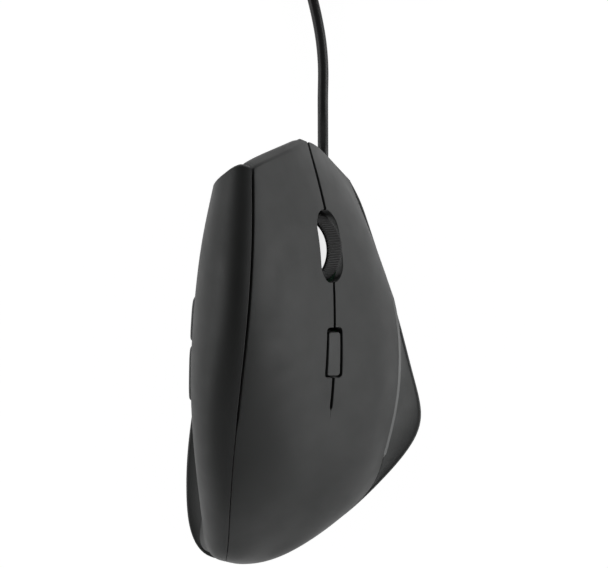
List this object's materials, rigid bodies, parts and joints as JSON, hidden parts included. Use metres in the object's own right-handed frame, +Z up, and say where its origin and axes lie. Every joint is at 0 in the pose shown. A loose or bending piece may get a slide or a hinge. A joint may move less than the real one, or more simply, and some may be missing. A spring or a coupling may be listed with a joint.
{
  "type": "computer mouse",
  "caption": "Right-handed vertical wired computer mouse with two keys, a scroll wheel, side buttons and a coiled cord ending in a plug.",
  "frame": {"origin": "on the surface the mouse stands on, below the middle of the mouse without its cord", "axes": "+Y towards the front, where the cord leaves; +X towards the palm and fingers; +Z up"},
  "size_m": [0.0983, 0.2175, 0.0741],
  "materials": {
    "shell": "soft-touch matte, dark grey",
    "base": "fine textured matte, dark grey",
    "button": "smooth matte, dark grey",
    "wheel_rubber": "ribbed, black",
    "wheel_hub": "glossy white",
    "inner_plastic": "moulded, black",
    "circuit_board": "green solder mask",
    "black_parts": "moulded, black",
    "white_plastic": "moulded, off-white",
    "clear_plastic": "clear moulded",
    "red_lamp": "tinted clear",
    "skate": "slick low-friction pad",
    "cord_jacket": "smooth flexible jacket, black",
    "plug_plastic": "moulded, black",
    "tie": "flat band, black",
    "steel": "plated",
    "ribbon": "flat flexible cable, grey"
  },
  "bodies": {
    "body": {"palm_shell": "shell", "thumb_shell": "shell", "front_skate": "skate", "rear_skate": "skate", "side_skate": "skate", "front_panel": "base", "base_shell": "base", "strain_relief": "cord_jacket", "key_board": "circuit_board", "inner_frame": "inner_plastic", "left_switch": "black_parts", "right_switch": "black_parts", "wheel_switch": "black_parts", "scroll_encoder": "black_parts", "key_board_screw_1": "steel", "key_board_screw_2": "steel", "dpi_switch": "black_parts", "thumb_board": "circuit_board", "forward_switch": "black_parts", "back_switch": "black_parts", "main_board": "circuit_board", "main_board_screw_1": "steel", "main_board_screw_2": "steel", "base_screw_1": "steel", "base_screw_2": "steel", "base_screw_3": "steel", "optical_sensor": "black_parts", "sensor_led": "red_lamp", "controller_chip": "black_parts", "capacitor": "black_parts", "cord_connector": "white_plastic", "ribbon_connector": "white_plastic", "sensor_lens": "clear_plastic", "ribbon_cable": "ribbon", "cord_run": "cord_jacket", "cord_coil": "cord_jacket", "cord_tie": "tie", "cord_tail": "cord_jacket", "plug_body": "plug_plastic", "plug_shell": "steel", "plug_tongue": "white_plastic"},
    "left_key": {"left_key": "shell"},
    "right_key": {"right_key": "shell"},
    "dpi_button": {"dpi_button": "button"},
    "forward_button": {"forward_button": "button"},
    "back_button": {"back_button": "button"},
    "wheel_cradle": {"wheel_cradle": "inner_plastic"},
    "wheel": {"wheel_hub": "wheel_hub", "wheel_tyre": "wheel_rubber", "wheel_axle": "steel"},
    "left_plunger": {"left_switch_plunger": "white_plastic"},
    "right_plunger": {"right_switch_plunger": "white_plastic"}
  },
  "joints": [
    {"name": "left_key_press", "type": "hinge", "parent": "body", "child": "left_key", "pos_m": [-0.00382, -0.01641, 0.04939], "axis": [-0.657, -0.0791, 0.7497], "range_deg": [0, 0.6], "stiffness_Nm_per_rad": 3},
    {"name": "right_key_press", "type": "hinge", "parent": "body", "child": "right_key", "pos_m": [0.01992, -0.01857, 0.02456], "axis": [-0.4442, 0.0658, 0.8935], "range_deg": [0, 0.6], "stiffness_Nm_per_rad": 3},
    {"name": "dpi_press", "type": "slide", "parent": "body", "child": "dpi_button", "axis": [-0.7795, 0.1502, -0.6081], "range_m": [0, 0.0005], "stiffness_N_per_m": 800},
    {"name": "forward_press", "type": "slide", "parent": "body", "child": "forward_button", "axis": [0.9879, -0.0886, 0.1271], "range_m": [0, 0.0005], "stiffness_N_per_m": 700},
    {"name": "back_press", "type": "slide", "parent": "body", "child": "back_button", "axis": [0.9879, -0.0886, 0.1271], "range_m": [0, 0.0005], "stiffness_N_per_m": 700},
    {"name": "wheel_press", "type": "slide", "parent": "body", "child": "wheel_cradle", "axis": [-0.8645, -0.1021, -0.4922], "range_m": [0, 0.0005], "stiffness_N_per_m": 1500},
    {"name": "wheel_spin", "type": "hinge", "parent": "wheel_cradle", "child": "wheel", "pos_m": [-0.00009, 0.03011, 0.04289], "axis": [0.4892, 0.054, -0.8705], "continuous": true},
    {"name": "left_plunger_press", "type": "slide", "parent": "body", "child": "left_plunger", "axis": [-0.8645, -0.1021, -0.4922], "range_m": [0, 0.0004]},
    {"name": "right_plunger_press", "type": "slide", "parent": "body", "child": "right_plunger", "axis": [-0.8645, -0.1021, -0.4922], "range_m": [0, 0.0004]}
  ],
  "couplings": [
    {"joint": "left_plunger_press", "follows": "left_key_press", "m_per_rad": 0.033},
    {"joint": "right_plunger_press", "follows": "right_key_press", "m_per_rad": 0.036}
  ]
}
